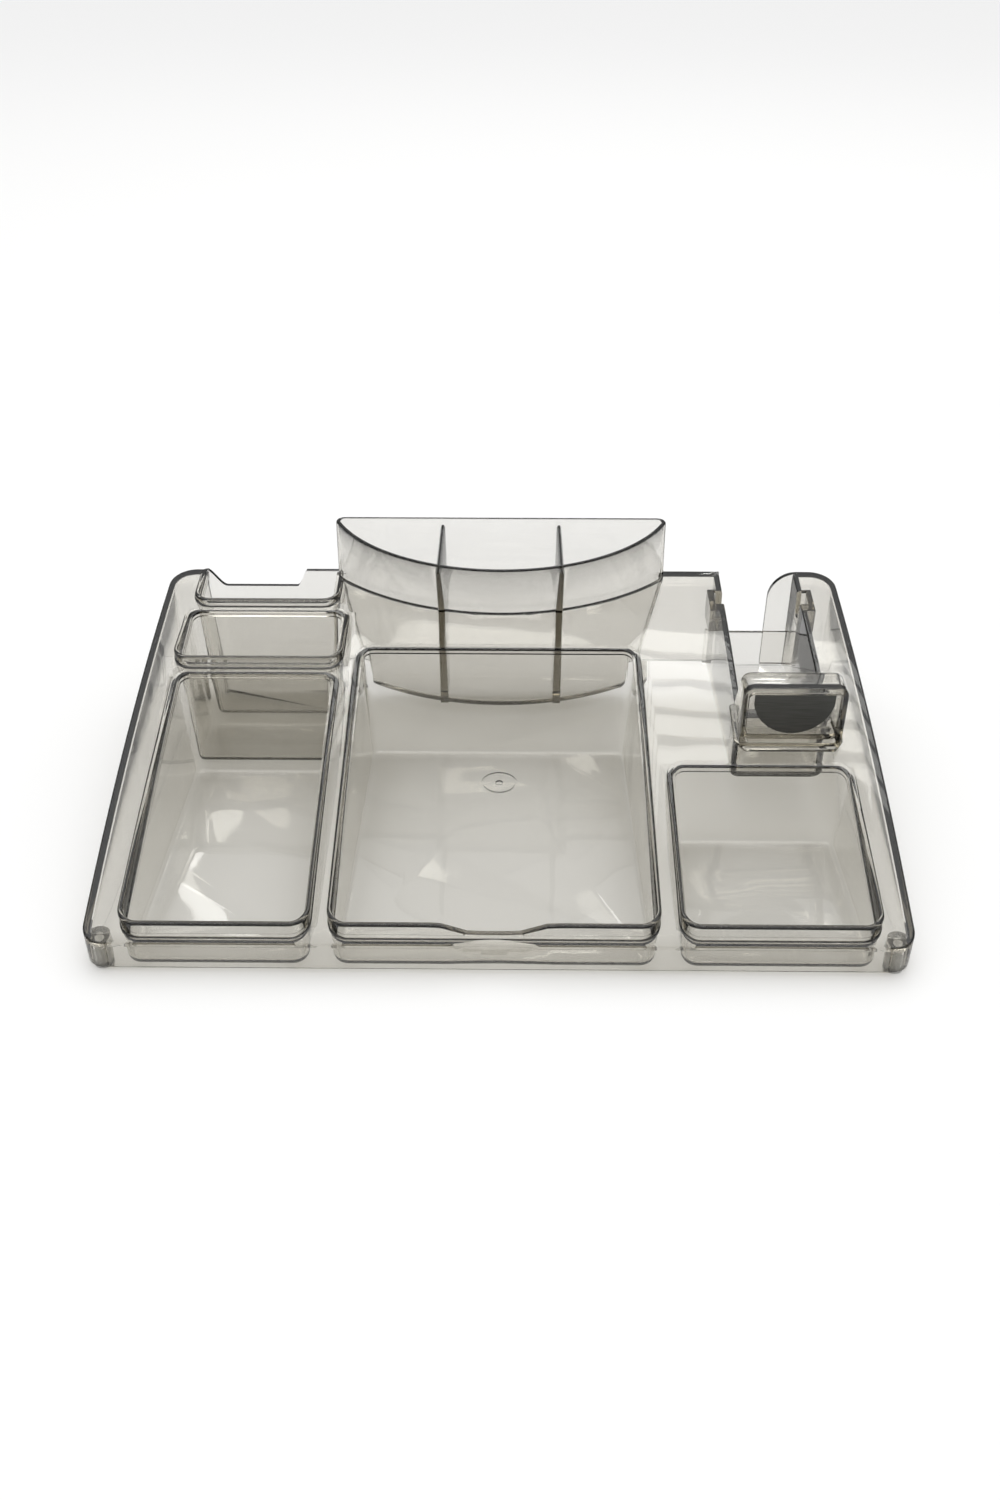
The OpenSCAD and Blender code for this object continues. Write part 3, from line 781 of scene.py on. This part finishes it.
def finger_scoop():
    """Low stretch in the rear bin's back wall with soft sloping ends."""
    floor = DECK_BACK_Z - SCOOP_DROP
    top = DECK_BACK_Z + SCOOP_RISE
    left = box_mm("rear_bin")[0].x + SCOOP_START
    profile = []
    for k in range(SCOOP_STEPS + 1):
        t = k / SCOOP_STEPS
        ease = t * t * (3 - 2 * t)
        profile.append((left + SCOOP_SLOPE_LEFT * t, top + (floor - top) * ease))
    right = left + SCOOP_SLOPE_LEFT + SCOOP_FLAT
    for k in range(SCOOP_STEPS + 1):
        t = k / SCOOP_STEPS
        ease = t * t * (3 - 2 * t)
        profile.append((right + SCOOP_SLOPE_RIGHT * t, floor + (top - floor) * ease))
    profile += [(profile[-1][0], DECK_BACK_Z + 6), (left, DECK_BACK_Z + 6)]
    return prism("scoop", profile, BACK_Y - WALL - SCOOP_REACH, BACK_Y + 1, "y")


def thumb_scoop():
    """Hollow in the front edge below the thumb notch, part of an ellipsoid."""
    rows = []
    for k in range(1, 48):
        a = math.pi * k / 48
        rows.append([(NOTE_X + THUMB_SIZE[0] * x * math.sin(a),
                      FRONT_Y - THUMB_OUT + THUMB_SIZE[1] * y * math.sin(a),
                      THUMB_SIZE[2] * (1 - math.cos(a)))
                     for x, y in disc(0, 0, 1, 96)])
    return loft("thumb_scoop", rows)


POST_IN_DECK = 1.2         # how far a post reaches up into the deck
BORE_R = 1.5               # hole for a foot's stem
BORE_DEPTH = 7
GATE_PLACE = (0.6, 89.9)   # from the note tray's middle, and from its front
GATE_RING_R = (5.5, 6.1)   # inner and outer radius of the injection mark's ring
GATE_RING_DEPTH = 0.35
GATE_DOT_R = 1.3
GATE_DOT_DEPTH = 0.6


def corner_post(node):
    low, high = box_mm(node)
    middle = (low + high) / 2
    radius = (high.x - low.x) / 2
    return upright(node, disc(middle.x, middle.y, radius, 40), LOW_Z, high.z + POST_IN_DECK)


def post_bore(node):
    low, high = box_mm(node)
    middle = (low + high) / 2
    return upright(node, disc(middle.x, middle.y, BORE_R, 32), -1, LOW_Z + BORE_DEPTH)


def gate_mark():
    """Injection mark on the note tray's floor: a shallow ring and a dot."""
    floor = LOW_Z + WALL
    x = NOTE_X + GATE_PLACE[0]
    y = note_low.y + GATE_PLACE[1]
    ring = upright("gate", disc(x, y, GATE_RING_R[1], 64), floor - GATE_RING_DEPTH, floor + 1)
    core = upright("gate_core", disc(x, y, GATE_RING_R[0], 64), floor - 1, floor + 2)
    combine(ring, [core], "DIFFERENCE")
    dot = upright("gate_dot", disc(x, y, GATE_DOT_R, 32), floor - GATE_DOT_DEPTH, floor + 1)
    return [ring, dot]


POSTS = ["post_front_left", "post_front_right", "post_back_left", "post_back_right"]
MOULDING = ["deck", "front_skirt", "left_skirt", "right_skirt", "back_wall_left",
            "back_wall_right", "note_tray", "left_tray", "right_tray", "middle_bin",
            "rear_bin", "pen_cup", "pen_divider_left", "pen_divider_right",
            "tape_cheek_left", "tape_cheek_right", "tape_well_floor", "tape_well_back",
            "cutter_nose"] + POSTS


def moulding():
    """The whole clear body as one closed skin."""
    body = body_shell()
    vessels = [simple_tray("note_tray", notch_dip), simple_tray("left_tray"),
               simple_tray("right_tray"), simple_tray("middle_bin"), rear_bin(), pen_cup()]
    combine(body, [plug for _, plug in vessels], "DIFFERENCE")
    combine(body, [cup for cup, _ in vessels], "UNION")
    combine(body, [pen_divider("pen_divider_left"), pen_divider("pen_divider_right")], "UNION")
    combine(body, [well_outer()] + axle_pockets(), "UNION")
    combine(body, [nose_plinth(), nose_body()] + nose_gussets(), "UNION")
    combine(body, [well_cavity()] + nose_cuts() + axle_slots(), "DIFFERENCE")
    combine(body, [back_gap(), finger_scoop(), thumb_scoop()], "DIFFERENCE")
    combine(body, [well_back()], "UNION")
    combine(body, [corner_post(node) for node in POSTS], "UNION")
    combine(body, [post_bore(node) for node in POSTS] + gate_mark(), "DIFFERENCE")
    return body


def finish_mesh(obj, angle=32.0):
    """Cleans a combined mesh and smooths it except at real corners."""
    bm = bmesh.new()
    bm.from_mesh(obj.data)
    bmesh.ops.remove_doubles(bm, verts=bm.verts, dist=2e-6)
    bmesh.ops.dissolve_degenerate(bm, edges=bm.edges, dist=1e-6)
    bmesh.ops.recalc_face_normals(bm, faces=bm.faces)
    bm.to_mesh(obj.data)
    bm.free()
    for polygon in obj.data.polygons:
        polygon.use_smooth = True
    obj.data.set_sharp_from_angle(angle=math.radians(angle))


# ---- materials -----------------------------------------------------------

def new_material(name):
    material = bpy.data.materials.new(name)
    material.use_nodes = True
    nodes = material.node_tree.nodes
    return material, nodes, material.node_tree.links, nodes["Principled BSDF"]


def smoke_clear():
    """Polished clear plastic, tinted right through so that edges go dark."""
    material, nodes, links, bsdf = new_material("smoke_clear")
    bsdf.inputs["Base Color"].default_value = (1, 1, 1, 1)
    bsdf.inputs["Transmission Weight"].default_value = 1.0
    bsdf.inputs["IOR"].default_value = 1.56
    absorption = nodes.new("ShaderNodeVolumeAbsorption")
    absorption.inputs["Color"].default_value = (0.53, 0.50, 0.42, 1)
    absorption.inputs["Density"].default_value = 200.0
    output = nodes["Material Output"]
    links.new(absorption.outputs[0], output.inputs["Volume"])
    place = nodes.new("ShaderNodeTexCoord")
    waves = nodes.new("ShaderNodeTexNoise")
    waves.inputs["Scale"].default_value = 45.0
    waves.inputs["Detail"].default_value = 1.0
    links.new(place.outputs["Object"], waves.inputs["Vector"])
    bump = nodes.new("ShaderNodeBump")
    bump.inputs["Strength"].default_value = 0.15
    bump.inputs["Distance"].default_value = 0.0006
    links.new(waves.outputs["Fac"], bump.inputs["Height"])
    links.new(bump.outputs["Normal"], bsdf.inputs["Normal"])
    polish = nodes.new("ShaderNodeMapRange")
    polish.inputs["To Min"].default_value = 0.0
    polish.inputs["To Max"].default_value = 0.05
    links.new(waves.outputs["Fac"], polish.inputs["Value"])
    links.new(polish.outputs["Result"], bsdf.inputs["Roughness"])
    # Shadows and the light that floors collect pass straight through
    clear = nodes.new("ShaderNodeBsdfTransparent")
    clear.inputs["Color"].default_value = (0.935, 0.935, 0.93, 1)
    path = nodes.new("ShaderNodeLightPath")
    mix = nodes.new("ShaderNodeMixShader")
    soft_ray = nodes.new("ShaderNodeMath")
    soft_ray.operation = "MAXIMUM"
    links.new(path.outputs["Is Shadow Ray"], soft_ray.inputs[0])
    links.new(path.outputs["Is Diffuse Ray"], soft_ray.inputs[1])
    links.new(soft_ray.outputs[0], mix.inputs["Fac"])
    links.new(bsdf.outputs[0], mix.inputs[1])
    links.new(clear.outputs[0], mix.inputs[2])
    links.new(mix.outputs[0], output.inputs["Surface"])
    return material


def blade_steel():
    """Steel strip with fine lengthways grain; its colour is painted near black as a painted
    reflection of the dark room it faces.
    """
    material, nodes, links, bsdf = new_material("blade_steel")
    bsdf.inputs["Metallic"].default_value = 1.0
    place = nodes.new("ShaderNodeTexCoord")
    stretch = nodes.new("ShaderNodeMapping")
    stretch.inputs["Scale"].default_value = (120, 3000, 3000)
    grain = nodes.new("ShaderNodeTexNoise")
    grain.inputs["Scale"].default_value = 1.0
    links.new(place.outputs["Object"], stretch.inputs["Vector"])
    links.new(stretch.outputs["Vector"], grain.inputs["Vector"])
    # Painted reflection: these near-black colours stand in for the dark surroundings that the steel
    # reflects; only the grain's small changes of tone are the strip's own.
    shade = nodes.new("ShaderNodeValToRGB")
    shade.color_ramp.elements[0].color = (0.055, 0.055, 0.05, 1)
    shade.color_ramp.elements[1].color = (0.12, 0.12, 0.115, 1)
    links.new(grain.outputs["Fac"], shade.inputs["Fac"])
    links.new(shade.outputs["Color"], bsdf.inputs["Base Color"])
    rough = nodes.new("ShaderNodeMapRange")
    rough.inputs["To Min"].default_value = 0.3
    rough.inputs["To Max"].default_value = 0.48
    links.new(grain.outputs["Fac"], rough.inputs["Value"])
    links.new(rough.outputs["Result"], bsdf.inputs["Roughness"])
    return material


def foot_soft():
    """Milky translucent soft plastic."""
    material, nodes, links, bsdf = new_material("foot_soft")
    mottle = nodes.new("ShaderNodeTexNoise")
    mottle.inputs["Scale"].default_value = 400.0
    shade = nodes.new("ShaderNodeValToRGB")
    shade.color_ramp.elements[0].color = (0.70, 0.70, 0.68, 1)
    shade.color_ramp.elements[1].color = (0.82, 0.82, 0.80, 1)
    links.new(mottle.outputs["Fac"], shade.inputs["Fac"])
    links.new(shade.outputs["Color"], bsdf.inputs["Base Color"])
    bsdf.inputs["Transmission Weight"].default_value = 0.5
    bsdf.inputs["Roughness"].default_value = 0.35
    return material


def table_white():
    material, _, _, bsdf = new_material("table_white")
    bsdf.inputs["Base Color"].default_value = (0.9, 0.9, 0.9, 1)
    bsdf.inputs["Roughness"].default_value = 0.6
    return material


def dress(obj, material):
    obj.data.materials.clear()
    obj.data.materials.append(material)


# ---- the object ----------------------------------------------------------

body = moulding()
finish_mesh(body)
dress(body, smoke_clear())
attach(body, "root")
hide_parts(*MOULDING)

steel = blade_steel()
dress(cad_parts["cutter_blade"], steel)
soft = foot_soft()
for node in ("foot_front_left", "foot_front_right", "foot_back_left", "foot_back_right"):
    dress(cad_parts[node], soft)

# ---- stage, light and camera, all in metres ------------------------------

FLOOR_SIZE = 12.0
FLOOR_BACK = 3.0           # how far its middle is behind the object
bpy.ops.mesh.primitive_plane_add(size=FLOOR_SIZE, location=(0, FLOOR_BACK, 0))
floor = bpy.context.object
floor.name = "table"
dress(floor, table_white())

SKY_LOW = 0.16             # brightness of the room at the horizon
SKY_HIGH = 1.75            # added brightness straight above
world = bpy.data.worlds.new("studio")
world.use_nodes = True
sky = world.node_tree.nodes
sky_links = world.node_tree.links
direction = sky.new("ShaderNodeTexCoord")
parts = sky.new("ShaderNodeSeparateXYZ")
sky_links.new(direction.outputs["Generated"], parts.inputs["Vector"])
above = sky.new("ShaderNodeMath")
above.operation = "MAXIMUM"
above.inputs[1].default_value = 0.0
sky_links.new(parts.outputs["Z"], above.inputs[0])
curve = sky.new("ShaderNodeMath")
curve.operation = "POWER"
curve.inputs[1].default_value = 2.0
sky_links.new(above.outputs[0], curve.inputs[0])
level = sky.new("ShaderNodeMath")
level.operation = "MULTIPLY_ADD"
level.inputs[1].default_value = SKY_HIGH
level.inputs[2].default_value = SKY_LOW
sky_links.new(curve.outputs[0], level.inputs[0])
sky_links.new(level.outputs[0], sky["Background"].inputs["Strength"])
sky["Background"].inputs["Color"].default_value = (1, 1, 1, 1)
bpy.context.scene.world = world


LAMP_TARGET = (0, 0, 0.03)
LAMP_COLOR = (1.0, 1.0, 0.96)


def panel(name, azimuth, elevation, distance, size, radiance):
    """Flat lamp facing the object; azimuth runs from straight behind to the right."""
    a, e = math.radians(azimuth), math.radians(elevation)
    way = Vector((math.sin(a) * math.cos(e), math.cos(a) * math.cos(e), math.sin(e)))
    data = bpy.data.lights.new(name, "AREA")
    data.shape = "RECTANGLE"
    data.size, data.size_y = size
    data.energy = radiance * math.pi * size[0] * size[1]
    data.color = LAMP_COLOR
    light = bpy.data.objects.new(name, data)
    light.location = Vector(LAMP_TARGET) + way * distance
    light.rotation_euler = (-way).to_track_quat("-Z", "Y").to_euler()
    bpy.context.scene.collection.objects.link(light)


# Ceiling tubes behind the object, small windows, and one tube in front
for k, elevation in enumerate((51, 54.5, 58, 61.5, 65)):
    panel("tube_%d" % k, 12, elevation, 1.6, (1.3, 0.07), 2.2)
for k, azimuth in enumerate((-15, 4.5, 16)):
    panel("window_%d" % k, azimuth, 38.5, 1.6, (0.09, 0.07), 4.5)
panel("window_low", 14, 31, 1.6, (0.10, 0.05), 8)
panel("front_tube", 180, 60, 1.5, (1.2, 0.04), 3)

CAMERA_SIDE = 0.00356      # right of the middle of the body
CAMERA_BACK = 0.3642       # in front of the middle of the body
CAMERA_UP = 0.2761         # above the table
CAMERA_PITCH = 34.53       # degrees below level
CAMERA_YAW = 0.57          # degrees to the left
CAMERA_FOCAL = 1346.5      # in units of the image's pixels
IMAGE_HEIGHT = 1500
SENSOR = 36.0
camera_data = bpy.data.cameras.new("camera")
camera_data.sensor_width = SENSOR
camera_data.lens = CAMERA_FOCAL / IMAGE_HEIGHT * SENSOR
camera_data.clip_start = 0.01
camera = bpy.data.objects.new("camera", camera_data)
camera.location = (CAMERA_SIDE, -CAMERA_BACK, CAMERA_UP)
camera.rotation_euler = (math.radians(90 - CAMERA_PITCH), 0, math.radians(CAMERA_YAW))
scene = bpy.context.scene
scene.collection.objects.link(camera)
scene.camera = camera
scene.view_settings.view_transform = "Standard"
scene.cycles.max_bounces = 24
scene.cycles.transmission_bounces = 20
scene.cycles.transparent_max_bounces = 24
scene.cycles.use_denoising = True
scene.cycles.caustics_refractive = False
scene.cycles.caustics_reflective = False
